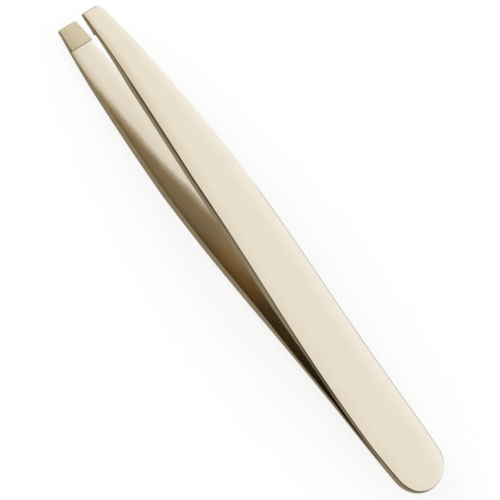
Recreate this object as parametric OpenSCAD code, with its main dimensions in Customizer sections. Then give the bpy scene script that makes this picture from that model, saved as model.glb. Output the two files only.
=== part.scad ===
// Slant tweezers: two spring-steel arms, joined face to face at a rounded butt.
// Each arm flexes just ahead of the butt and carries a raised jaw pad inside its tip.
// +X runs from the butt to the tips and Z is the way the arms open. The origin is the
// middle of the whole, and z = 0 is the plane in which the jaws meet.

/* [Overall] */
// Length from the rounded butt to the longer corner of the tips
overall_l = 95; // [80:1:120]
// Height of each arm's crown, the highest point of its bow, above the middle plane
bow_h = 6.05; // [5.4:0.1:8]
// Distance of the crown from the tips
crown_from_tip = 16; // [14:1:20]
// Gap between the two tip edges at rest
tip_gap = 8.7; // [6:0.1:10]

/* [Width] */
// Widest width, near the butt
butt_w = 10.3; // [9:0.1:13]
// Radius of the rounded butt end
butt_r = 4.8; // [3.8:0.1:5.2]
// Distance of the widest place from the butt end
widest_at = 13; // [12:1:18]
// Width at the knee, where the long taper to the tips begins
knee_w = 8.65; // [7:0.05:10]
// Distance of the knee from the tips
knee_from_tip = 31.5; // [26:0.5:38]
// Width of the tips
tip_w = 3.6; // [2.4:0.1:5]

/* [Thickness] */
// Thickness of the thin spring stretch and of each half of the butt
spring_t = 0.74; // [0.6:0.02:1]
// Thickness of the stiff middle of each arm, where the fingers press
grip_t = 1.46; // [1.2:0.05:2]
// Thickness of each arm just behind its jaw pad
neck_t = 0.68; // [0.5:0.02:1]
// Thickness of each arm at the very tip, under its jaw pad
arm_tip_t = 0.32; // [0.2:0.02:0.5]
// Thickness of an arm and its jaw pad together at the tip edge
tip_t = 0.6; // [0.5:0.02:0.9]

/* [Butt and spring] */
// Length of the butt in which the two halves lie face to face
weld_l = 11; // [9:0.5:14]
// Angle at which the arms part ahead of the butt
part_deg = 2; // [0:0.5:4]
// Distance of each arm's flexing axis from the butt end
flex_at = 22; // [18:1:25]
// Distance from the butt end at which the spring stretch starts to thicken
spring_end = 27; // [26:1:32]
// Length over which it thickens to the grip's thickness
thicken_l = 16; // [10:1:20]

/* [Jaws] */
// Length of each raised jaw pad along its leading side
pad_l = 4; // [2.5:0.1:6]
// Length of the thinned stretch behind each pad
thin_l = 10; // [6:0.5:14]
// Slant of the tip edge away from square
slant_deg = 5; // [0:1:25]
// Rounding of the leading corner of the tips
lead_r = 0.25; // [0.1:0.05:0.4]
// Rounding of the upper tip's trailing corner
upper_trail_r = 1.1; // [0.3:0.1:1.2]
// Rounding of the lower tip's trailing corner
lower_trail_r = 0.5; // [0.2:0.1:1]
// Angle left between each pad and the middle plane when the tip edges meet
toe_deg = 3; // [0:0.25:3.5]

/* [Joining and fits] */
// Diameter of each spot weld
spot_d = 2.4; // [1.6:0.1:3]
// Thickness of each spot weld, shared by the two halves
spot_t = 0.4; // [0.2:0.05:0.5]
// Distance between the two spot welds
spot_pitch = 4; // [3.2:0.1:4.5]
// Width of the seam weld along the butt's edge
seam_w = 0.5; // [0.3:0.05:0.7]
// Thickness of the seam weld
seam_t = 0.3; // [0.2:0.05:0.4]
// Radius of the round end on which each arm turns in its half of the butt
knuckle_r = 0.3; // [0.2:0.01:0.3]
// Clearance round that end
knuckle_clear = 0.06; // [0.03:0.01:0.08]
// Clearance left between each tip edge and the middle plane when the jaws are shut
shut_clear = 0.04; // [0.02:0.01:0.1]

/* [Hidden] */
// Every position s below is a distance from the butt end, and side is +1 on the upper half.
crown_at = overall_l - crown_from_tip;
knee_at = overall_l - knee_from_tip;
pad_at = overall_l - pad_l;
thin_at = pad_at - thin_l;
tip_outer_z = tip_gap / 2 + tip_t;
part_handle = 0.42 * (crown_at - weld_l);   // Bezier handles of the bow, as shares of its spans
crown_handle = 0.51 * (crown_at - weld_l);
turn_handle = 0.45 * crown_from_tip;
tip_handle = 0.42 * crown_from_tip;
tip_deg = 7.5;                              // slope of the outer face at the tip
bow_steps = 18;
turn_steps = 7;
edge_steps = 12;
butt_steps = 10;
corner_steps = 4;
cut = 40;                                   // reach of cutting blocks past the part
spot_at = widest_at - spot_pitch * 2;       // the middle of the two spot welds
step_back = 0.5 * knuckle_r;                // each half of the butt stops this far short of its axis
seam_end = weld_l - 1;

function mix(a, b, t) = a + (b - a) * t;
function smooth(t) = t * t * (3 - 2 * t);
function clamp(t) = min(max(t, 0), 1);
function quad(a, b, c, t) = mix(mix(a, b, t), mix(b, c, t), t);
function cubic(a, b, c, d, t) = mix(quad(a, b, c, t), quad(b, c, d, t), t);

// The outer face, seen from the side: flat over the weld, a long S up to the crown, then
// the turn down to the tip.
outer_face = concat(
    [[-1, spring_t]],
    [for (i = [0:bow_steps]) cubic(
        [weld_l, spring_t],
        [weld_l + part_handle, spring_t + part_handle * tan(part_deg)],
        [crown_at - crown_handle, bow_h],
        [crown_at, bow_h],
        i / bow_steps)],
    [for (i = [1:turn_steps]) cubic(
        [crown_at, bow_h],
        [crown_at + turn_handle, bow_h],
        [overall_l - tip_handle, tip_outer_z + tip_handle * tan(tip_deg)],
        [overall_l, tip_outer_z],
        i / turn_steps)]);
function outer_z(s) = lookup(s, outer_face);

// Thickness of the blade alone, without the jaw pad.
function blade_t(s) =
    s < pad_at
        ? mix(spring_t, grip_t, smooth(clamp((s - spring_end) / thicken_l)))
          - (grip_t - neck_t) * clamp((s - thin_at) / thin_l)
        : mix(neck_t, arm_tip_t, (s - pad_at) / pad_l);
function inner_z(s) = s <= weld_l ? 0 : outer_z(s) - blade_t(s);

// Each arm turns by squeeze_deg about its flexing axis before its tip edge meets the
// other one.
flex_z = outer_z(flex_at) - spring_t / 2;
reach = overall_l - flex_at;
rise = tip_gap / 2 - flex_z;
squeeze_deg = atan(rise / reach) + asin((flex_z - shut_clear) / norm([reach, rise]));
pad_slope = tan(squeeze_deg - toe_deg);
function pad_z(s) = tip_gap / 2 - (overall_l - s) * pad_slope;

// Stations at which the side view has a corner, between s = a and s = b.
function stations(a, b) = concat(
    [a],
    [for (p = outer_face) if (p.x > a + 0.3 && p.x < b - 0.3) p.x],
    [b]);

// The plan view's half width: round butt, gentle swell, knee, straight-looking taper.
flare_deg = 4;
side_edge = concat(
    [for (i = [1:butt_steps]) let (a = i * (90 - flare_deg) / butt_steps)
        butt_r * [1 - cos(a), sin(a)]],
    [for (i = [1:3]) quad(
        butt_r * [1 - sin(flare_deg), cos(flare_deg)],
        [mix(butt_r, widest_at, 0.6), butt_w / 2],
        [widest_at, butt_w / 2],
        i / 3)],
    [for (i = [1:edge_steps]) quad(
        [widest_at, butt_w / 2],
        [mix(widest_at, knee_at, 0.5), butt_w / 2],
        [knee_at, knee_w / 2],
        i / edge_steps)],
    [for (i = [1:edge_steps]) quad(
        [knee_at, knee_w / 2],
        [mix(knee_at, overall_l, 0.5), mix(knee_w, tip_w, 0.42) / 2],
        [overall_l, tip_w / 2],
        i / edge_steps)]);
// The side edge pulled in by an inset, up to s = b.
function inset_edge(inset, b) = concat(
    [for (p = side_edge) if (p.x < b)
        p.x < butt_r
            ? [butt_r - (butt_r - p.x) * (1 - inset / butt_r), p.y * (1 - inset / butt_r)]
            : [p.x, p.y - inset]],
    [[b, lookup(b, side_edge) - inset]]);
function flipped(points) = [for (i = [len(points) - 1:-1:0]) [points[i].x, -points[i].y]];

// An arc that rounds the corner q between p and r.
function round_corner(p, q, r, radius) =
    let (
        u = (p - q) / norm(p - q),
        v = (r - q) / norm(r - q),
        half = acos(u * v) / 2,
        middle = q + (u + v) / norm(u + v) * radius / sin(half),
        from = q + u * radius / tan(half) - middle,
        to = q + v * radius / tan(half) - middle)
    [for (i = [0:corner_steps]) let (d = mix(from, to, i / corner_steps))
        middle + d / norm(d) * radius];

// Where the rear end of a jaw pad crosses y, and a place safely behind all of it.
pad_half_w = lookup(pad_at, side_edge);
function pad_rear(y) = pad_at - (pad_half_w - y) * tan(slant_deg);
pad_from = pad_rear(-pad_half_w) - 0.5;
// The inner face of an arm, seen from the side.
arm_inner = [for (s = stations(flex_at, overall_l)) [s, inner_z(s)]];

tip_back = tip_w * tan(slant_deg);
lead_corner = [overall_l, tip_w / 2];
trail_corner = [overall_l - tip_back, -lookup(overall_l - tip_back, side_edge)];
// The whole outline in plan, with the slanted and rounded tip.
function outline(trail_r) =
    let (edge = inset_edge(0, overall_l - tip_back - trail_r - 1.2))
    concat(
        [[0, 0]],
        edge,
        round_corner(edge[len(edge) - 1], lead_corner, trail_corner, lead_r),
        round_corner(lead_corner, trail_corner, flipped(edge)[0], trail_r),
        flipped(edge));

// Puts something drawn by its distance from the butt end in its place.
module place() {
    translate([-overall_l / 2, 0, 0])
        children();
}

// Stretches a side view, drawn in s and z, across the whole width.
module across() {
    rotate([90, 0, 0])
        linear_extrude(height = 2 * butt_w, center = true)
            children();
}

// Keeps what lies within the outline in plan. It is drawn for the upper half, and
// mirrored for the lower one.
module half_solid(side) {
    place()
        mirror([0, 0, side > 0 ? 0 : 1])
            intersection() {
                children();
                linear_extrude(height = 2 * bow_h)
                    polygon(outline(side > 0 ? upper_trail_r : lower_trail_r));
            }
}

// Side view of the blade between s = a and s = b.
module blade_side(a, b) {
    along = stations(a, b);
    polygon(concat(
        [for (s = along) [s, outer_z(s)]],
        [for (i = [len(along) - 1:-1:0]) [along[i], inner_z(along[i])]]));
}

module spot_weld_disc() {
    for (shift = [-0.5, 0.5] * spot_pitch)
        translate([spot_at + shift, 0, 0])
            cylinder(h = spot_t, d = spot_d, center = true, $fn = 48);
}

// The seam weld's strip: the edge of the butt, from one side round the end to the other.
module seam_strip() {
    outer = inset_edge(0, seam_end);
    inner = inset_edge(seam_w, seam_end);
    linear_extrude(height = seam_t, center = true)
        difference() {
            polygon(concat([[0, 0]], outer, flipped(outer)));
            polygon(concat(
                [[seam_w, 0]],
                inner,
                [[cut, inner[len(inner) - 1].y], [cut, -inner[len(inner) - 1].y]],
                flipped(inner)));
        }
}

// One half of the butt, up to the seat in which its arm turns.
module tang(side) {
    difference() {
        half_solid(side)
            difference() {
                across()
                    blade_side(0, flex_at - step_back);
                across()
                    translate([flex_at, flex_z])
                        circle(r = knuckle_r + knuckle_clear, $fn = 48);
            }
        place() {
            spot_weld_disc();
            seam_strip();
        }
    }
}

// One arm, from the round end on which it turns to the tip.
module arm(side) {
    half_solid(side)
        union() {
            across()
                blade_side(flex_at, overall_l);
            across()
                translate([flex_at, flex_z])
                    circle(r = knuckle_r, $fn = 48);
        }
}

// The raised pad inside a tip. Its rear end, the step that shows behind the jaw, runs
// parallel to the slanted tip edge.
module jaw_pad(side) {
    along = stations(pad_from, overall_l);
    half_solid(side)
        intersection() {
            across()
                polygon(concat(
                    [for (s = along) [s, lookup(s, arm_inner)]],
                    [[overall_l, pad_z(overall_l)], [pad_from, pad_z(pad_from)]]));
            linear_extrude(height = 2 * bow_h)
                polygon([
                    [pad_rear(butt_w), butt_w],
                    [overall_l + 1, butt_w],
                    [overall_l + 1, -butt_w],
                    [pad_rear(-butt_w), -butt_w]]);
        }
}

module upper_tang() { color("#e2d9c3") tang(1); }
module lower_tang() { color("#e2d9c3") tang(-1); }
module spot_welds() { color("#8f8a80") place() spot_weld_disc(); }
module seam_weld() { color("#cfc4a8") place() seam_strip(); }
module upper_arm() { color("#e5ddcb") arm(1); }
module lower_arm() { color("#e5ddcb") arm(-1); }
module upper_jaw_pad() { color("#d6c8ac") jaw_pad(1); }
module lower_jaw_pad() { color("#d6c8ac") jaw_pad(-1); }

upper_tang();
lower_tang();
spot_welds();
seam_weld();
upper_arm();
lower_arm();
upper_jaw_pad();
lower_jaw_pad();
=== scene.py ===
"""Slant tweezers, dressed for the camera: the two sprung blades as continuous strips with
softly rounded edges, the ground jaw pads inside the tips and the fused seam of the butt."""

import math

import bmesh
import bpy
from mathutils import Matrix, Vector


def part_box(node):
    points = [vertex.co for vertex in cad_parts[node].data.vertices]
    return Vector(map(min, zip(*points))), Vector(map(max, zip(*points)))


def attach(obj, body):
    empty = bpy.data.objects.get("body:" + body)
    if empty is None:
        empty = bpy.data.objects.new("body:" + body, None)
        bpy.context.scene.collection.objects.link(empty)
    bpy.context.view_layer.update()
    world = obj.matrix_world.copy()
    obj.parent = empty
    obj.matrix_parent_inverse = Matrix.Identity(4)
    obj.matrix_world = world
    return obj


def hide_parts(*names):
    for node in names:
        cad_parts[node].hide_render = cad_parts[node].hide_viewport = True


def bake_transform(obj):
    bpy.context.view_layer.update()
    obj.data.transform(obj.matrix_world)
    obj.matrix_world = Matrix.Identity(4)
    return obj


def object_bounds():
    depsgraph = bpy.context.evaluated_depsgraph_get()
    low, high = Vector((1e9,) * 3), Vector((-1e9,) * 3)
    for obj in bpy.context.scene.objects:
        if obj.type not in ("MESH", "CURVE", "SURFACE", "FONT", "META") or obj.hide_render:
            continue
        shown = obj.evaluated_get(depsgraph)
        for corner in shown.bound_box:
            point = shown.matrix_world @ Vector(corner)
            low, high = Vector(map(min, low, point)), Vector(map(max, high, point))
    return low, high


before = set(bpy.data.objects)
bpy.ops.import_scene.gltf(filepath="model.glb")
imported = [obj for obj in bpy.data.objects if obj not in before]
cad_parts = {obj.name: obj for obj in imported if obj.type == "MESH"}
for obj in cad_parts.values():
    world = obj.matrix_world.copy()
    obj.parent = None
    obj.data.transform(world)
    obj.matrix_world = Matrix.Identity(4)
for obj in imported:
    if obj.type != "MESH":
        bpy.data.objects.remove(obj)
cad_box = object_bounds()

MM = 0.001


BUTT_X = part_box("upper_tang")[0].x
TIP_X = -BUTT_X                              # the origin is the middle of the whole
HALF_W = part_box("upper_tang")[1].y
BOW_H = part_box("upper_arm")[1].z             # crown of the bow above the middle plane
TIP_INNER_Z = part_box("upper_jaw_pad")[0].z   # the pad's lowest point, at its rear end
PAD_BACK_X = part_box("upper_jaw_pad")[0].x    # the pad's slanted rear end, on the -Y side
SEAM_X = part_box("seam_weld")[1].x
SEAM_HALF_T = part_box("seam_weld")[1].z

# ------------------------------------------------------------ the part's other sizes
BUTT_R = 4.8 * MM
FLARE = math.radians(4)
WIDEST_X = BUTT_X + 13 * MM
KNEE_X = TIP_X - 31.5 * MM
KNEE_HALF_W = 4.325 * MM
TIP_HALF_W = 1.8 * MM
SLANT = math.tan(math.radians(5))            # of the tip edge and of the pad's rear end
TIP_BACK = 2 * TIP_HALF_W * SLANT
LEAD_R = 0.25 * MM
UPPER_TRAIL_R = 1.1 * MM
LOWER_TRAIL_R = 0.5 * MM
WELD_X = BUTT_X + 11 * MM
SPRING_T = 0.74 * MM
GRIP_T = 1.46 * MM
NECK_T = 0.68 * MM
ARM_TIP_T = 0.32 * MM
TIP_OUTER_Z = 4.95 * MM
TIP_GAP_Z = 4.35 * MM
PAD_X = TIP_X - 4 * MM                       # the pad's rear end, on the +Y side
CROWN_X = TIP_X - 16 * MM
SPRING_END_X = BUTT_X + 27 * MM
THICKEN_L = 16 * MM
THIN_L = 10 * MM
PART_SLOPE = math.tan(math.radians(2))
TIP_SLOPE = math.tan(math.radians(7.5))
PAD_SLOPE = (TIP_GAP_Z - TIP_INNER_Z) / (TIP_X - PAD_BACK_X)

# ------------------------------------------------------------ the finish
OUTER_EDGE_R = 0.18 * MM    # tumbled rounding of a blade's outer edges
END_EDGE_R = 0.60 * MM      # the upper one's, round the end of the butt, is worn softer
TIP_EDGE_R = 0.09 * MM
INNER_EDGE_R = 0.07 * MM
WELD_EDGE_R = 0.03 * MM     # inner edges along the fused butt
HIDDEN_EDGE_R = 0.004 * MM  # inner edges under the jaw pad
PAD_EDGE_R = 0.06 * MM
FACE_CROWN = 0.04 * MM      # fall of the outer face from its middle to its edges
PAD_SINK = 0.05 * MM        # how far a pad's body reaches into its blade
PAD_BODY_INSET = 0.3 * MM   # of that hidden end, from the pad's outline
PAD_SIDE_INSET = 0.002 * MM
PAD_RAMP = 0.13 * MM        # length of the slope at the pad's rear end
PAD_RAMP_FADE = 1 * MM      # how far along the pad the slope still moves its points
SEAM_INSET = 0.006 * MM
SEAM_BEVEL = 3 * SEAM_INSET
SEAM_DEPTH = 0.5 * MM

# Where the edges' roundings change over, along X.
END_R_FADE = (BUTT_X + 0.3 * MM, BUTT_X + 2.7 * MM)
TIP_R_FADE = (TIP_X - 0.9 * MM, TIP_X - 0.4 * MM)
SPRUNG_R_FADE = (WELD_X, WELD_X + 2 * MM)
HIDDEN_R_FADE = (PAD_BACK_X - 0.3 * MM, PAD_BACK_X)

# ------------------------------------------------------------ how finely it is drawn
ROW_STEP = 0.8 * MM
ARC_STEPS = 16
CORNER_STEPS = 6
CORNER_LEAD_L = 1.2 * MM    # from the last row that all outlines share to a tip's corner
CORNER_LEAD_STEPS = 4
COLUMNS = 14
EDGE_RINGS = 4
HALVINGS = 40
EDGE_MARGIN = 1.2           # from an edge to its face's outermost ring, in radii
MIN_HALF_W = 1 * MM         # stands in for narrower widths, by the butt's apex
TOUCH = 1e-6 * MM           # two places closer than this are one
REAR_MARGIN = 0.1 * MM      # an outline point this close to a pad's rear end is dropped


def mix(a, b, t):
    return a + (b - a) * t


def clamp(t):
    return min(max(t, 0.0), 1.0)


def smooth(t):
    t = clamp(t)
    return t * t * (3 - 2 * t)


def rise(value, start, end):
    """0 up to start, 1 from end, and smooth between them."""
    return smooth((value - start) / (end - start))


def quad(a, b, c, t):
    return mix(mix(a, b, t), mix(b, c, t), t)


def cubic(a, b, c, d, t):
    return mix(quad(a, b, c, t), quad(b, c, d, t), t)


def height_on(curve, x):
    """Height at x of a cubic given by four (x, z) points, found by halving."""
    low, high = 0.0, 1.0
    for _ in range(HALVINGS):
        t = (low + high) / 2
        if cubic(*(p[0] for p in curve), t) < x:
            low = t
        else:
            high = t
    return cubic(*(p[1] for p in curve), low)


# Each curve's handles, as shares of its length.
PART_HANDLE = 0.42
CROWN_HANDLES = (0.51, 0.45)
TIP_HANDLE = 0.42
FLARE_HANDLE = 0.6
TAPER_HANDLE = 0.42

BOW = (
    (WELD_X, SPRING_T),
    (mix(WELD_X, CROWN_X, PART_HANDLE),
     SPRING_T + PART_HANDLE * (CROWN_X - WELD_X) * PART_SLOPE),
    (mix(CROWN_X, WELD_X, CROWN_HANDLES[0]), BOW_H),
    (CROWN_X, BOW_H))
TURN = (
    (CROWN_X, BOW_H),
    (mix(CROWN_X, TIP_X, CROWN_HANDLES[1]), BOW_H),
    (mix(TIP_X, CROWN_X, TIP_HANDLE), TIP_OUTER_Z + TIP_HANDLE * (TIP_X - CROWN_X) * TIP_SLOPE),
    (TIP_X, TIP_OUTER_Z))


def outer_z(x):
    """Outer face of the upper blade, seen from the side."""
    if x <= WELD_X:
        return SPRING_T
    return height_on(BOW if x < CROWN_X else TURN, x)


def blade_t(x):
    """Thickness: even along the spring stretch, fullest at the grip, thin at the tip."""
    if x >= PAD_X:
        return mix(NECK_T, ARM_TIP_T, (x - PAD_X) / (TIP_X - PAD_X))
    thick = mix(SPRING_T, GRIP_T, smooth((x - SPRING_END_X) / THICKEN_L))
    return thick - (GRIP_T - NECK_T) * clamp((x - PAD_X + THIN_L) / THIN_L)


def inner_z(x):
    return 0.0 if x <= WELD_X else outer_z(x) - blade_t(x)


def pad_z(x):
    return TIP_GAP_Z - (TIP_X - x) * PAD_SLOPE


# ------------------------------------------------------------ the outline in plan
def evenly(a, b, step):
    """Values from just after a up to b, no further apart than step."""
    n = math.ceil((b - a) / step)
    return [mix(a, b, (i + 1) / n) for i in range(n)]


def round_corner(p, q, r, radius):
    """Points of the arc that rounds the corner q between p and r."""
    u = (p - q).normalized()
    v = (r - q).normalized()
    half = u.angle(v) / 2
    middle = q + (u + v).normalized() * radius / math.sin(half)
    start = q + u * radius / math.tan(half) - middle
    end = q + v * radius / math.tan(half) - middle
    points = []
    for i in range(CORNER_STEPS + 1):
        points.append(middle + start.lerp(end, i / CORNER_STEPS).normalized() * radius)
    return points


def side_edge(end_x):
    """The +Y edge in plan, from just past the butt's apex to end_x."""
    points = []
    for i in range(1, ARC_STEPS + 1):
        a = i * (math.pi / 2 - FLARE) / ARC_STEPS
        points.append((BUTT_X + BUTT_R * (1 - math.cos(a)), BUTT_R * math.sin(a)))
    flank_x, flank_y = points[-1]
    for t in evenly(0, 1, ROW_STEP / (WIDEST_X - flank_x)):
        points.append((
            quad(flank_x, mix(BUTT_X + BUTT_R, WIDEST_X, FLARE_HANDLE), WIDEST_X, t),
            quad(flank_y, HALF_W, HALF_W, t)))
    for x in evenly(WIDEST_X, KNEE_X, ROW_STEP):
        t = (x - WIDEST_X) / (KNEE_X - WIDEST_X)
        points.append((x, quad(HALF_W, HALF_W, KNEE_HALF_W, t)))
    for x in evenly(KNEE_X, end_x, ROW_STEP):
        t = (x - KNEE_X) / (TIP_X - KNEE_X)
        handle = mix(KNEE_HALF_W, TIP_HALF_W, TAPER_HANDLE)
        points.append((x, quad(KNEE_HALF_W, handle, TIP_HALF_W, t)))
    return [Vector(p) for p in points if p[0] <= end_x + TOUCH]


def flipped(point):
    return Vector((point.x, -point.y))


def both_edges(trail_r):
    """Both edges in plan, from just past the apex round to the tip edge, point for point."""
    straight_x = TIP_X - TIP_BACK - trail_r - CORNER_LEAD_L
    shared = side_edge(straight_x)
    lead = Vector((TIP_X, TIP_HALF_W))
    trail = Vector((TIP_X - TIP_BACK, -TIP_HALF_W))
    sides = []
    for start, corner, other, radius in (
            (shared[-1], lead, trail, LEAD_R), (flipped(shared[-1]), trail, lead, trail_r)):
        arc = round_corner(start, corner, other, radius)
        lead_in = [
            start.lerp(arc[0], i / CORNER_LEAD_STEPS) for i in range(1, CORNER_LEAD_STEPS)]
        sides.append(lead_in + arc)
    return shared + sides[0], [flipped(p) for p in shared] + sides[1]


class Outline:
    """A closed loop in plan: apex or rear edge, +Y side, tip edge, and back along -Y.
    Rows pair the points that face each other across the width."""

    def __init__(self, plus, minus, apex=None):
        last = [plus[-1].lerp(minus[-1], i / COLUMNS) for i in range(1, COLUMNS)]
        first = [minus[0].lerp(plus[0], i / COLUMNS) for i in range(1, COLUMNS)]
        head = [apex] if apex else first
        self.points = head + plus + last + minus[::-1]
        self.has_apex = apex is not None
        self.rows = len(plus)
        self.head = len(head)
        total = len(self.points)
        self.normals = []
        for i in range(total):
            run = self.points[(i + 1) % total] - self.points[i - 1]
            self.normals.append(Vector((-run.y, run.x)).normalized())

    def plus(self, row):
        return self.head + row

    def minus(self, row):
        return len(self.points) - 1 - row

    def inset(self, i, distance):
        return self.points[i] - self.normals[i] * distance


UPPER_EDGES = both_edges(UPPER_TRAIL_R)
LOWER_EDGES = both_edges(LOWER_TRAIL_R)


def half_width(x):
    """The outline's half width at x, between the points of its +Y edge."""
    before = Vector((BUTT_X, 0))
    for point in UPPER_EDGES[0]:
        if point.x >= x:
            return mix(before.y, point.y, (x - before.x) / (point.x - before.x))
        before = point
    return TIP_HALF_W


def pad_rear(y):
    """Where the slanted rear end of a jaw pad crosses y."""
    return PAD_X - (half_width(PAD_X) - y) * SLANT


# ------------------------------------------------------------ meshes
class Ring:
    """One level of a piece's side. Its inset is a function of x, and its height, flank and
    slide of x and y. flank is 0 on a face and 1 in the middle of the sheared side, inside
    is 1 on the face that looks into the gap, and slide moves a point towards the tip."""

    def __init__(self, inset, height, flank=0.0, inside=0.0, slide=None):
        self.inset = inset
        self.height = height
        self.flank = flank if callable(flank) else lambda x, y: flank
        self.inside = inside
        self.slide = slide or (lambda x, y: 0.0)


def face_z(x, y):
    """The outer face, which falls a little towards its edges."""
    return outer_z(x) - FACE_CROWN * (y / HALF_W) ** 2


def edge_rings(height, radius, sign, inside, flank, slide=None):
    """Rings of a rounded edge, from the face outwards. sign is -1 where the side lies below.
    flank gives the side's mark from x, y and the share of the turn."""
    rings = [Ring(lambda x: radius(x) * EDGE_MARGIN, height, 0.0, inside, slide)]
    for i in range(EDGE_RINGS + 1):
        share = i / EDGE_RINGS
        a = share * math.pi / 2
        rings.append(Ring(
            lambda x, a=a: radius(x) * (1 - math.sin(a)),
            lambda x, y, a=a: height(x, y) + sign * radius(x) * (1 - math.cos(a)),
            lambda x, y, share=share: flank(x, y, share),
            inside * (1 - share),
            slide))
    return rings


# The marks along the turns of the edges, which the material reads as "flank": painted shade lines
# and the sides below them.
SHADE_LINE_MARK = 0.8             # reached at the end of an outer turn: short of the flank's 1
BUTT_SHADE_LINE_MARK = 0.4        # the same, round the worn end of the butt
PAD_SIDE_MARK = 0.9
PAD_REAR_SHADE_MARK = 0.05
PARTING_SHADE = 0.75            # off an inner turn's mark where the blades part: it goes to the painted shade line
HIGHLIGHT_KEPT_ACROSS = (0.3, 0.8)    # of the half width, towards the -Y edge
HIGHLIGHT_KEPT_ALONG = (TIP_X - 43 * MM, TIP_X - 36 * MM)
WORN_BUTT = (BUTT_X + 1.4 * MM, BUTT_X + 4.2 * MM)
PARTING_START = (BUTT_X + 7.5 * MM, BUTT_X + 10.5 * MM)
PARTING_END = (BUTT_X + 16 * MM, BUTT_X + 22 * MM)
PAD_MARK_FADE = 0.3 * MM


def highlight_kept(x, y, share):
    """1 where the turn of the -Y edge keeps the face's painted highlight instead of the painted
    shade line, from the start of the taper to the tip. The side below the turn is not."""
    if share == 1:
        return 0.0
    outward = -y / max(half_width(x), TIP_HALF_W)
    return rise(outward, *HIGHLIGHT_KEPT_ACROSS) * rise(x, *HIGHLIGHT_KEPT_ALONG)


def shade_line_mark(x, y, share):
    """A painted shade line along the turn of an outer edge."""
    return SHADE_LINE_MARK * smooth(share) * (1 - highlight_kept(x, y, share))


def butt_shade_line_mark(x, y, share):
    """As the outer turns' painted shade line, but round the worn end of the butt it comes in only
    late in the turn.
    """
    late = BUTT_SHADE_LINE_MARK * clamp(2 * share - 1) ** 2
    return mix(late, shade_line_mark(x, y, share), rise(x, *WORN_BUTT))


def inner_shade_line_mark(x, y, share):
    """The inner edges have a painted shade line only about the place where the blades part."""
    if share == 0:
        return 0.0
    parting = rise(x, *PARTING_START) * (1 - rise(x, *PARTING_END))
    return (1 - PARTING_SHADE * parting) * (1 - highlight_kept(x, y, share))


def middle_ring(upper, lower):
    return Ring(lambda x: 0.0, lambda x, y: (upper.height(x, y) + lower.height(x, y)) / 2, 1.0)


class Shell:
    """Collects the points and faces of one closed piece drawn for the upper half."""

    def __init__(self, loop):
        self.loop = loop
        self.points = []
        self.faces = []
        self.flank = []
        self.inside = []
        self.across = []            # -1 on the -Y edge, 1 on the +Y edge

    def point(self, x, y, z, flank=0.0, inside=0.0, across=0.0):
        self.points.append((x, y, z))
        self.flank.append(flank)
        self.inside.append(inside)
        self.across.append(across)
        return len(self.points) - 1

    def add(self, x, y, ring):
        across = y / max(half_width(x), MIN_HALF_W)
        return self.point(x, y, ring.height(x, y), ring.flank(x, y), ring.inside, across)

    def level(self, ring):
        ids = []
        for i, point in enumerate(self.loop.points):
            place = self.loop.inset(i, ring.inset(point.x))
            ids.append(self.add(place.x + ring.slide(place.x, place.y), place.y, ring))
        return ids

    def wall(self, above, below):
        total = len(above)
        for i in range(total):
            j = (i + 1) % total
            self.faces.append((above[i], above[j], below[j], below[i]))

    def between(self, ids, ring, row):
        """The points of a row between its ends, which are new where the row crosses a face."""
        if row == self.loop.rows - 1:
            return [ids[self.loop.plus(row) + i] for i in range(1, COLUMNS)]
        if row == 0 and not self.loop.has_apex:
            return [ids[COLUMNS - 1 - i] for i in range(1, COLUMNS)]
        start = Vector(self.points[ids[self.loop.plus(row)]])
        end = Vector(self.points[ids[self.loop.minus(row)]])
        places = [start.lerp(end, i / COLUMNS) for i in range(1, COLUMNS)]
        return [self.add(place.x, place.y, ring) for place in places]

    def cap(self, ids, ring, up):
        """Closes a level with rows that run across the width."""
        rows = []
        for r in range(self.loop.rows):
            inner = self.between(ids, ring, r)
            rows.append([ids[self.loop.plus(r)]] + inner + [ids[self.loop.minus(r)]])
        faces = []
        if self.loop.has_apex:
            faces += [(ids[0], rows[0][i + 1], rows[0][i]) for i in range(COLUMNS)]
        for near, far in zip(rows, rows[1:]):
            for i in range(COLUMNS):
                faces.append((near[i], near[i + 1], far[i + 1], far[i]))
        self.faces += faces if up else [f[::-1] for f in faces]

    def build(self, name, side, material):
        """Makes the object, mirrored across the middle plane where side is -1."""
        mesh = bpy.data.meshes.new(name)
        mesh.from_pydata([(x, y, z * side) for x, y, z in self.points], [], self.faces)
        for key in ("flank", "inside", "across"):
            layer = mesh.attributes.new(key, "FLOAT", "POINT")
            layer.data.foreach_set("value", getattr(self, key))
        work = bmesh.new()
        work.from_mesh(mesh)
        bmesh.ops.recalc_face_normals(work, faces=work.faces)
        work.to_mesh(mesh)
        work.free()
        mesh.polygons.foreach_set("use_smooth", [True] * len(mesh.polygons))
        mesh.materials.append(material)
        piece = bpy.data.objects.new(name, mesh)
        bpy.context.collection.objects.link(piece)
        return piece


def closed_shell(loop, rings):
    shell = Shell(loop)
    levels = [shell.level(ring) for ring in rings]
    for above, below in zip(levels, levels[1:]):
        shell.wall(above, below)
    shell.cap(levels[0], rings[0], up=True)
    shell.cap(levels[-1], rings[-1], up=False)
    return shell


def inner_edge_r(x):
    """Small along the weld, full along the arm, and gone where the jaw pad takes over."""
    sprung = mix(WELD_EDGE_R, INNER_EDGE_R, rise(x, *SPRUNG_R_FADE))
    return mix(sprung, HIDDEN_EDGE_R, rise(x, *HIDDEN_R_FADE))


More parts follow.
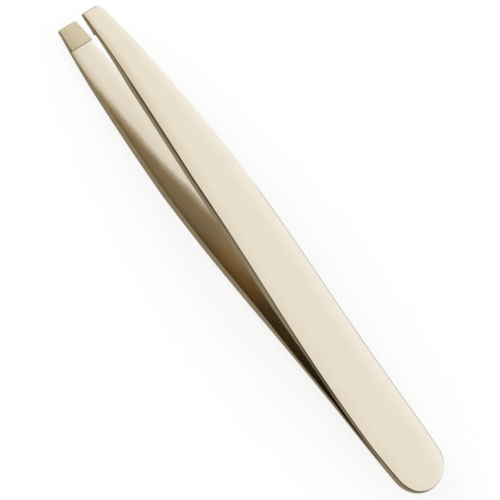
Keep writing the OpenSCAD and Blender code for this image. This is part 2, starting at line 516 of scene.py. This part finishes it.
def blade_shell(edges, end_edge_r, outer_mark):
    """A whole blade. end_edge_r is the rounding of its outer edge round the butt's end."""
    def outer_edge_r(x):
        side_r = mix(end_edge_r, OUTER_EDGE_R, rise(x, *END_R_FADE))
        return mix(side_r, TIP_EDGE_R, rise(x, *TIP_R_FADE))

    def inner_face(x, y):
        return inner_z(x)

    outer = edge_rings(face_z, outer_edge_r, -1, 0.0, outer_mark)
    inner = edge_rings(inner_face, inner_edge_r, 1, 1.0, inner_shade_line_mark)
    loop = Outline(*edges, apex=Vector((BUTT_X, 0)))
    return closed_shell(loop, outer + [middle_ring(outer[-1], inner[-1])] + inner[::-1])


def pad_loop(edges):
    """The blade's outline from the pad's rear end to the tip."""
    halves = []
    for edge, rear_x in zip(edges, (PAD_X, PAD_BACK_X)):
        kept = [p for p in edge if p.x > rear_x + REAR_MARGIN]
        before = edge[len(edge) - len(kept) - 1]
        share = (rear_x - before.x) / (kept[0].x - before.x)
        halves.append([before.lerp(kept[0], share)] + kept)
    count = min(len(half) for half in halves)
    return Outline(*(half[:1] + half[len(half) - count + 1:] for half in halves))


def pad_shell(edges):
    """A jaw pad, from inside its blade to the ground face. Its rear end slopes."""
    def sunk(x, y):
        return inner_z(x) + PAD_SINK

    def face(x, y):
        return pad_z(x)

    def ramp(x, y):
        return PAD_RAMP * (1 - smooth((x - pad_rear(y)) / PAD_RAMP_FADE))

    def marked(mark):
        """The sloped rear end is painted only a little darker than the face, as the step's shade.
        """
        return lambda x, y: mix(
            PAD_REAR_SHADE_MARK, mark, smooth((x - pad_rear(y) - PAD_RAMP) / PAD_MARK_FADE))

    body = Ring(lambda x: PAD_BODY_INSET, sunk)
    side_top = Ring(lambda x: PAD_SIDE_INSET, sunk, marked(PAD_SIDE_MARK))
    lower = edge_rings(
        face, lambda x: PAD_EDGE_R, 1, 1.0,
        lambda x, y, share: marked(shade_line_mark(x, y, share))(x, y), ramp)
    return closed_shell(pad_loop(edges), [body, side_top] + lower[::-1])


def strip_faces(stations, n):
    """Faces of a strip with n points round each station, closed at both ends."""
    faces = []
    for i in range(stations - 1):
        for k in range(n):
            m = (k + 1) % n
            faces.append((i * n + k, i * n + m, (i + 1) * n + m, (i + 1) * n + k))
    total = stations * n
    return faces + [tuple(range(n)), tuple(range(total - 1, total - n - 1, -1))]


def seam_piece(material):
    """The fused seam: a strip along the edge of the butt, a hair below flush."""
    plus = [p for p in UPPER_EDGES[0] if p.x < SEAM_X]
    path = [flipped(p) for p in plus[::-1]] + [Vector((BUTT_X, 0))] + plus
    section = (
        (SEAM_DEPTH, 1.0), (SEAM_BEVEL, 1.0), (SEAM_INSET, 0.5),
        (SEAM_INSET, -0.5), (SEAM_BEVEL, -1.0), (SEAM_DEPTH, -1.0))
    shell = Shell(None)
    for i, p in enumerate(path):
        run = path[min(i + 1, len(path) - 1)] - path[max(i - 1, 0)]
        outward = Vector((-run.y, run.x)).normalized()
        for inset, level in section:
            place = p - outward * inset
            shell.point(place.x, place.y, level * SEAM_HALF_T, flank=1.0)
    shell.faces = strip_faces(len(path), len(section))
    return shell.build("fused_seam", 1, material)


# ------------------------------------------------------------ materials
def linear(r, g, b):
    """A colour given as sRGB values from 0 to 255."""
    def channel(v):
        v /= 255
        return v / 12.92 if v <= 0.04045 else ((v + 0.055) / 1.055) ** 2.4
    return channel(r), channel(g), channel(b), 1.0


FACE = linear(232, 223, 205)
# painted highlight along the faces' -Y edge
FACE_HIGHLIGHT_PAINTED = linear(242, 236, 223)
# painted warm shade along the faces' +Y edge; also the tone of the streaks and clouds
FACE_WARM_TONE_AND_SHADE = linear(212, 199, 172)
# painted shade line along the edges' turns; also the dark tone of the mottles and weld ripples
SHADE_LINE_AND_DARK_TONE = linear(84, 70, 40)
# the painted shade line at its darkest
DEEP_SHADE_LINE = linear(56, 38, 10)
# sheared metal of the flanks, painted darker as shade
SHEARED_AND_SHADED = linear(147, 132, 102)
# painted shade of the dark gap that the inner faces mirror, deepening towards the weld
GAP_SHADE = linear(124, 100, 60)
GAP_SHADE_WARM = linear(156, 124, 68)
GAP_SHADE_INNERMOST = linear(158, 141, 98)
GAP_SHADE_FRINGE = linear(176, 152, 96)
# the pads' faces, painted darker and warmer as shade of their angle
PAD_FACE_SHADED = linear(216, 202, 175)
PAD_WARM_SHADED = linear(203, 187, 157)
WELD_GREY = linear(136, 130, 120)

# Frequencies of the noises, in 1/m along X, Y and Z.
BRUSHED = (260, 9000, 9000)
STREAKED = (60, 2200, 2200)
CLOUDED = (120, 260, 260)
RAGGED = (6000, 700, 2000)
MOTTLED = (900, 5000, 5000)
UNEVEN = (1500, 1500, 600)
GROUND_MARKS = (9000, 320, 3000)
GROUND_BROAD = (1400, 160, 600)
RIPPLED = (1800, 1800, 1800)


def from_tip(*distances):
    """Places along X, given in millimetres behind the tips."""
    return tuple(TIP_X - distance * MM for distance in distances)


WARM_EDGE = from_tip(45, 8)             # the painted warm shade grows towards the tips
GAP_SHADE_CREEP = from_tip(50, 0)            # the painted shade of the gap narrows towards the tips
GAP_SHADE_WIDENING = from_tip(64, 30)            # and widens further towards the weld
# where the gap's painted shade is warmest, and where it turns to its innermost colour
WARMEST = from_tip(58, 52, 48, 38)
DEEPEST = from_tip(62, 51)
DARKEST_SHADE_LINE = from_tip(48, 34, 16, 10)    # the outer turns' painted shade line is darkest here
BUTT_SHADE_LINE = from_tip(86, 76)            # and round the butt
NIP_SHADE = from_tip(78, 72, 69, 58)          # painted shade: the upper flank darkens where the blades part


class Finish:
    """A metal material with short helpers for its nodes."""

    def __init__(self, name):
        self.material = bpy.data.materials.new(name)
        self.material.use_nodes = True
        self.tree = self.material.node_tree
        self.shader = self.tree.nodes["Principled BSDF"]
        self.shader.inputs["Metallic"].default_value = 1.0
        coords = self.tree.nodes.new("ShaderNodeTexCoord")
        self.place = coords.outputs["Object"]

    def node(self, kind, **settings):
        made = self.tree.nodes.new(kind)
        for key, value in settings.items():
            setattr(made, key, value)
        return made

    def link(self, source, target):
        self.tree.links.new(source, target)

    def attribute(self, name):
        return self.node("ShaderNodeAttribute", attribute_name=name).outputs["Fac"]

    def axis(self, index):
        split = self.node("ShaderNodeSeparateXYZ")
        self.link(self.place, split.inputs[0])
        return split.outputs[index]

    def noise(self, scale, detail):
        """Noise with its own frequency, in 1/m, along each axis."""
        mapping = self.node("ShaderNodeMapping")
        mapping.inputs["Scale"].default_value = scale
        self.link(self.place, mapping.inputs["Vector"])
        made = self.node("ShaderNodeTexNoise")
        made.inputs["Scale"].default_value = 1.0
        made.inputs["Detail"].default_value = detail
        made.inputs["Roughness"].default_value = 0.5
        self.link(mapping.outputs[0], made.inputs["Vector"])
        return made.outputs["Fac"]

    def varied(self, noise, to_low, to_high, low=0.3, high=0.7):
        """A noise, whose values lie mostly from low to high, spread over another range."""
        return self.ranged(noise, low, high, to_low, to_high)

    def ranged(self, value, low, high, to_low, to_high, kind="LINEAR"):
        """to_low up to low, to_high from high, and a straight or smooth run between."""
        made = self.node("ShaderNodeMapRange", interpolation_type=kind)
        for key, number in zip((1, 2, 3, 4), (low, high, to_low, to_high)):
            made.inputs[key].default_value = number
        self.link(value, made.inputs[0])
        return made.outputs[0]

    def rise(self, value, start, end, top=1.0):
        """0 up to start, top from end, and smooth between them."""
        return self.ranged(value, start, end, 0.0, top, "SMOOTHSTEP")

    def fall(self, value, start, end, top=1.0):
        """top up to start, 0 from end, and smooth between them."""
        return self.ranged(value, start, end, top, 0.0, "SMOOTHSTEP")

    def band(self, value, start, rise_end, fall_start, end):
        """0 up to start, 1 from rise_end to fall_start, and 0 again from end."""
        return self.times(
            self.rise(value, start, rise_end), self.fall(value, fall_start, end))

    def times(self, a, b):
        return self.math("MULTIPLY", a, b)

    def plus(self, a, b):
        return self.math("ADD", a, b)

    def math(self, kind, a, b):
        made = self.node("ShaderNodeMath", operation=kind)
        for socket, value in zip(made.inputs, (a, b)):
            if isinstance(value, (int, float)):
                socket.default_value = value
            else:
                self.link(value, socket)
        return made.outputs[0]

    def blend(self, share, a, b):
        """Colour a where share is 0, and b where it is 1."""
        made = self.node("ShaderNodeMix", data_type="RGBA")
        for index, value in ((0, share), (6, a), (7, b)):
            socket = made.inputs[index]
            if isinstance(value, (int, float, tuple)):
                socket.default_value = value
            else:
                self.link(value, socket)
        return made.outputs[2]

    def bump(self, height, strength, distance, before=None):
        made = self.node("ShaderNodeBump")
        made.inputs["Strength"].default_value = strength
        made.inputs["Distance"].default_value = distance
        self.link(height, made.inputs["Height"])
        if before is not None:
            self.link(before, made.inputs["Normal"])
        return made.outputs[0]

    def finish(self, colour, roughness, normal):
        self.link(colour, self.shader.inputs["Base Color"])
        self.link(roughness, self.shader.inputs["Roughness"])
        self.link(normal, self.shader.inputs["Normal"])
        return self.material


# How the marks that a piece carries turn into colour.
FACE_TO_LINE = (0.0, 0.12)      # of "flank": from the face to the turn's painted shade line
LINE_TO_CORE = (0.5, 0.85)      # and from the line to the sheared metal, painted darker as shade
WIDER_LINE = 0.27               # shift of LINE_TO_CORE where the line is darkest
BUTT_LINE_DEEP = 0.8            # how near the butt's line comes to the darkest
MOTTLE_RANGE = (0.35, 0.7)      # of the noise, and how much of the line's colour it brings
MOTTLE_MOST = 0.35
UPPER_HALF = (0.0, 0.1 * MM)    # of Z: what belongs to the upper blade alone comes in here
UPPER_MOST = 0.6

WARM_ACROSS = (0.3, 1.0)        # of "across": the faces' warm side, painted shade along the +Y edge
WARM_LEAST = 0.3                # its strength along the butt, where 1 is that at the tips
HIGHLIGHT_ACROSS = (-1.0, -0.3)      # and their pale side, a painted highlight along the -Y edge
HIGHLIGHT_MOST = 0.9
STREAK_RANGE = (0.35, 0.75)     # of the noise
STREAK_MOST = 0.05
DRIFT = 0.08                    # how far the clouds push the warm tone with its painted shade, and the gap's painted shade, either way
GROUND_WARM = 0.8               # the ground faces' warm side
GROUND_DRIFT = 0.15

# The painted shade of the gap reaches where "across" and these pushes add up to enough.
CREEP_PUSH = (0.98, -0.22)
DEEP_PUSH = 0.25
RAGGED_PUSH = 0.045
GAP_SHADE_RANGE = (0.55, 1.08)
GAP_SHADE_MOST = 0.85
FRINGE_RANGE = (0.15, 0.5, 0.75, 0.85)      # of the gap's painted shade: its golden fringe
FRINGE_MOST = 0.25
RIM_ACROSS = (0.75, 1.0)        # painted shade: the line's colour darkens the +Y rim inside the gap
RIM_MOST = 0.4

# Roughness from a noise's low values to its high ones, and bump's strength and height.
SATIN_ROUGH = (0.25, 0.34)
SHEARED_ROUGH = 0.14            # added to the flanks
GROUND_ROUGH = (0.30, 0.42)
WELD_ROUGH = (0.38, 0.52)
GRAIN_BUMP = (0.045, 0.004 * MM)
UNEVEN_BUMP = (0.035, 0.01 * MM)
GROUND_BUMP = (0.18, 0.005 * MM)
WELD_BUMP = (0.2, 0.02 * MM)


def satin_face(f, along, across, drift):
    """Champagne satin, with a painted highlight along the -Y edge and painted warm shade along the
    +Y one.
    """
    near_tip = f.ranged(along, *WARM_EDGE, WARM_LEAST, 1.0, "SMOOTHSTEP")
    warm = f.times(f.rise(across, *WARM_ACROSS), near_tip)
    face = f.blend(f.fall(across, *HIGHLIGHT_ACROSS, HIGHLIGHT_MOST), FACE, FACE_HIGHLIGHT_PAINTED)
    face = f.blend(f.plus(warm, drift), face, FACE_WARM_TONE_AND_SHADE)
    streaks = f.varied(f.noise(STREAKED, 2), 0.0, STREAK_MOST, *STREAK_RANGE)
    return f.blend(streaks, face, FACE_WARM_TONE_AND_SHADE)


def gap_shade_on(f, along, across, drift):
    """How strongly the painted shade of the gap darkens the metal, were it inside the gap."""
    creep = f.ranged(along, *GAP_SHADE_CREEP, *CREEP_PUSH, "SMOOTHSTEP")
    deep = f.ranged(along, *GAP_SHADE_WIDENING, DEEP_PUSH, 0.0)
    ragged = f.varied(f.noise(RAGGED, 3), -RAGGED_PUSH, RAGGED_PUSH)
    reach = f.plus(f.plus(f.plus(f.plus(across, creep), ragged), deep), drift)
    return f.rise(reach, *GAP_SHADE_RANGE, GAP_SHADE_MOST)


def gap_shaded(f, face, along, across, drift):
    """The face with the painted shade of the gap, which deepens inside the gap towards the weld.
    """
    inside = f.attribute("inside")
    shade_share = gap_shade_on(f, along, across, drift)
    shade_colour = f.blend(f.band(along, *WARMEST), GAP_SHADE, GAP_SHADE_WARM)
    shade_colour = f.blend(f.fall(along, *DEEPEST), shade_colour, GAP_SHADE_INNERMOST)
    colour = f.blend(f.times(shade_share, inside), face, shade_colour)
    fringe = f.times(f.band(shade_share, *FRINGE_RANGE), FRINGE_MOST)
    colour = f.blend(f.times(fringe, inside), colour, GAP_SHADE_FRINGE)
    rim = f.times(f.rise(across, *RIM_ACROSS, RIM_MOST), shade_share)
    return f.blend(f.times(rim, inside), colour, SHADE_LINE_AND_DARK_TONE)


def sheared_side(f, flank, along):
    """The flanks' brown sheared metal, painted darker as shade, under the painted shade line of
    the turn.
    """
    darkest = f.band(along, *DARKEST_SHADE_LINE)
    dark = f.math("MAXIMUM", darkest, f.fall(along, *BUTT_SHADE_LINE, BUTT_LINE_DEEP))
    line = f.blend(dark, SHADE_LINE_AND_DARK_TONE, DEEP_SHADE_LINE)
    upper_half = f.ranged(f.axis(2), *UPPER_HALF, 0.0, UPPER_MOST)
    wider = f.times(f.times(darkest, upper_half), WIDER_LINE)
    side = f.blend(f.rise(f.math("SUBTRACT", flank, wider), *LINE_TO_CORE), line, SHEARED_AND_SHADED)
    mottle = f.varied(f.noise(MOTTLED, 3), 0.0, MOTTLE_MOST, *MOTTLE_RANGE)
    side = f.blend(mottle, side, SHADE_LINE_AND_DARK_TONE)
    return f.blend(f.times(f.band(along, *NIP_SHADE), upper_half), side, DEEP_SHADE_LINE)


def satin_steel():
    """Pale champagne satin on the faces with a painted highlight and painted shade along their
    edges, sheared brown metal painted darker as shade along the flanks, and painted shade of the
    gap that deepens towards the weld."""
    f = Finish("satin_gold_steel")
    grain = f.noise(BRUSHED, 3)
    drift = f.varied(f.noise(CLOUDED, 2), -DRIFT, DRIFT)
    flank = f.attribute("flank")
    across = f.attribute("across")
    along = f.axis(0)
    face = satin_face(f, along, across, drift)
    colour = gap_shaded(f, face, along, across, drift)
    sheared = f.rise(flank, *FACE_TO_LINE)
    colour = f.blend(sheared, colour, sheared_side(f, flank, along))
    rough = f.plus(f.varied(grain, *SATIN_ROUGH), f.times(sheared, SHEARED_ROUGH))
    normal = f.bump(f.noise(UNEVEN, 3), *UNEVEN_BUMP, f.bump(grain, *GRAIN_BUMP))
    return f.finish(colour, rough, normal)


def ground_steel():
    """Finely ground pad faces: marks across the width, painted a shade darker and warmer than the
    blades' faces as shade.
    """
    f = Finish("ground_jaw")
    marks = f.noise(GROUND_MARKS, 3)
    broad = f.varied(f.noise(GROUND_BROAD, 2), -GROUND_DRIFT, GROUND_DRIFT)
    flank = f.attribute("flank")
    across = f.ranged(f.axis(1), -TIP_HALF_W, TIP_HALF_W, 0, 1)
    warm = f.plus(f.rise(across, *WARM_ACROSS, GROUND_WARM), broad)
    face = f.blend(warm, PAD_FACE_SHADED, PAD_WARM_SHADED)
    side = f.blend(f.rise(flank, *LINE_TO_CORE), SHADE_LINE_AND_DARK_TONE, SHEARED_AND_SHADED)
    colour = f.blend(f.rise(flank, *FACE_TO_LINE), face, side)
    return f.finish(colour, f.varied(marks, *GROUND_ROUGH), f.bump(marks, *GROUND_BUMP))


def weld_steel():
    """Bare fused steel, a little rippled."""
    f = Finish("weld_steel")
    ripple = f.noise(RIPPLED, 3)
    colour = f.blend(f.varied(ripple, 0, 1), WELD_GREY, SHADE_LINE_AND_DARK_TONE)
    return f.finish(colour, f.varied(ripple, *WELD_ROUGH), f.bump(ripple, *WELD_BUMP))


# ------------------------------------------------------------ the pieces
STEEL = satin_steel()
GROUND = ground_steel()
WELD = weld_steel()

for half, side, edges, end_edge_r, outer_mark in (
        ("upper", 1, UPPER_EDGES, END_EDGE_R, butt_shade_line_mark),
        ("lower", -1, LOWER_EDGES, OUTER_EDGE_R, shade_line_mark)):
    strip = blade_shell(edges, end_edge_r, outer_mark).build(half + "_blade", side, STEEL)
    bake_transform(strip)
    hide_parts(half + "_tang", half + "_arm")
    jaw = pad_shell(edges).build(half + "_ground_jaw", side, GROUND)
    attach(jaw, half)
    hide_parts(half + "_jaw_pad")

seam = seam_piece(STEEL)
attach(seam, "butt")
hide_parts("seam_weld")

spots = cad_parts["spot_welds"]
spots.data.materials.clear()
spots.data.materials.append(WELD)


# ------------------------------------------------------------ floor, light and camera
VIEW_TILT = math.radians(30)        # camera's lean from straight above towards +Y
VIEW_YAW = math.radians(2.1)        # and towards the tips
VIEW_TURN = math.radians(52.88)     # the tweezers' long axis below the picture's level
FRAME_W = 80.43 * MM
DISTANCE = 2.0
SENSOR = 36.0
AIM_ALONG = 0.89 * MM
AIM_ACROSS = 0.52 * MM
CLIP = (0.1, 20)

# Plain soft light. What is seen or mirrored shows as white, with a part of the shadow.
WORLD_STRENGTH = 0.88
SHADOW_SHARE = 0.28                 # of the object's shadow, kept by the white floor
PAPER = (0.96, 0.96, 0.96, 1)
WHITE = (1, 1, 1, 1)
FLOOR_HALF = 3
FLOOR_DROP = 0.02 * MM
KEY_FROM = (0.75, 0.55, 0.9)
KEY_DISTANCE = 0.6
KEY_SIZE = 0.35
KEY_POWER = 1.0


def view_axes():
    """Back, and what runs along and across the tweezers in the picture's plane."""
    level = Vector((0, math.sin(VIEW_TILT), math.cos(VIEW_TILT)))
    long_axis = Vector((1, 0, 0))
    back = level * math.cos(VIEW_YAW) + long_axis * math.sin(VIEW_YAW)
    along = long_axis * math.cos(VIEW_YAW) - level * math.sin(VIEW_YAW)
    across = Vector((0, math.cos(VIEW_TILT), -math.sin(VIEW_TILT)))
    return back, along, across


def add_camera():
    back, along, across = view_axes()
    right = -along * math.cos(VIEW_TURN) - across * math.sin(VIEW_TURN)
    up = along * math.sin(VIEW_TURN) - across * math.cos(VIEW_TURN)
    aim = along * AIM_ALONG + across * AIM_ACROSS
    data = bpy.data.cameras.new("camera")
    data.sensor_width = SENSOR
    data.lens = SENSOR * DISTANCE / FRAME_W
    data.clip_start, data.clip_end = CLIP
    camera = bpy.data.objects.new("camera", data)
    turn = Matrix((right, up, back)).transposed()
    camera.matrix_world = Matrix.Translation(aim + back * DISTANCE) @ turn.to_4x4()
    bpy.context.collection.objects.link(camera)
    bpy.context.scene.camera = camera


def seen_directly(tree):
    """1 for camera, glossy and transmission rays."""
    path = tree.nodes.new("ShaderNodeLightPath")
    total = path.outputs["Is Camera Ray"]
    for name in ("Is Glossy Ray", "Is Transmission Ray"):
        both = tree.nodes.new("ShaderNodeMath")
        both.operation = "MAXIMUM"
        tree.links.new(total, both.inputs[0])
        tree.links.new(path.outputs[name], both.inputs[1])
        total = both.outputs[0]
    return total


def show_blend(tree, share, first, second, output):
    """Shows the second shader by its share, and the first for the rest."""
    blend = tree.nodes.new("ShaderNodeMixShader")
    for socket, source in zip(blend.inputs, (share, first, second)):
        tree.links.new(source, socket)
    tree.links.new(blend.outputs[0], output)


def add_world():
    """White where it is seen or mirrored, and plain soft light elsewhere."""
    world = bpy.data.worlds.new("studio")
    bpy.context.scene.world = world
    world.use_nodes = True
    tree = world.node_tree
    light = tree.nodes["Background"]
    white = tree.nodes.new("ShaderNodeBackground")
    for background, strength in ((light, WORLD_STRENGTH), (white, 1.0)):
        background.inputs["Color"].default_value = WHITE
        background.inputs["Strength"].default_value = strength
    show_blend(
        tree, seen_directly(tree), light.outputs[0], white.outputs[0],
        tree.nodes["World Output"].inputs["Surface"])


def white_paper():
    """Paper that shows as white, apart from its share of the shadow."""
    paper = bpy.data.materials.new("white_paper")
    paper.use_nodes = True
    tree = paper.node_tree
    tree.nodes.clear()
    diffuse = tree.nodes.new("ShaderNodeBsdfDiffuse")
    diffuse.inputs["Color"].default_value = PAPER
    white = tree.nodes.new("ShaderNodeEmission")
    white.inputs["Strength"].default_value = 1.0
    share = tree.nodes.new("ShaderNodeMath")
    share.operation = "MULTIPLY"
    share.inputs[1].default_value = 1 - SHADOW_SHARE
    tree.links.new(seen_directly(tree), share.inputs[0])
    output = tree.nodes.new("ShaderNodeOutputMaterial")
    show_blend(
        tree, share.outputs[0], diffuse.outputs[0], white.outputs[0], output.inputs["Surface"])
    return paper


def add_floor():
    corners = [(-1, -1), (1, -1), (1, 1), (-1, 1)]
    mesh = bpy.data.meshes.new("floor")
    mesh.from_pydata([(x * FLOOR_HALF, y * FLOOR_HALF, 0) for x, y in corners], [], [(0, 1, 2, 3)])
    mesh.materials.append(white_paper())
    floor = bpy.data.objects.new("floor", mesh)
    floor.location.z = cad_box[0].z - FLOOR_DROP
    bpy.context.collection.objects.link(floor)


def add_softbox(name, direction, distance, size, power):
    data = bpy.data.lights.new(name, "AREA")
    data.shape = "DISK"
    data.size = size
    data.energy = power
    lamp = bpy.data.objects.new(name, data)
    away = Vector(direction).normalized()
    lamp.location = away * distance
    lamp.rotation_mode = "QUATERNION"
    lamp.rotation_quaternion = away.to_track_quat("Z", "Y")
    bpy.context.collection.objects.link(lamp)


bpy.context.scene.view_settings.view_transform = "Standard"
add_camera()
add_world()
add_floor()
add_softbox("key", KEY_FROM, KEY_DISTANCE, KEY_SIZE, KEY_POWER)
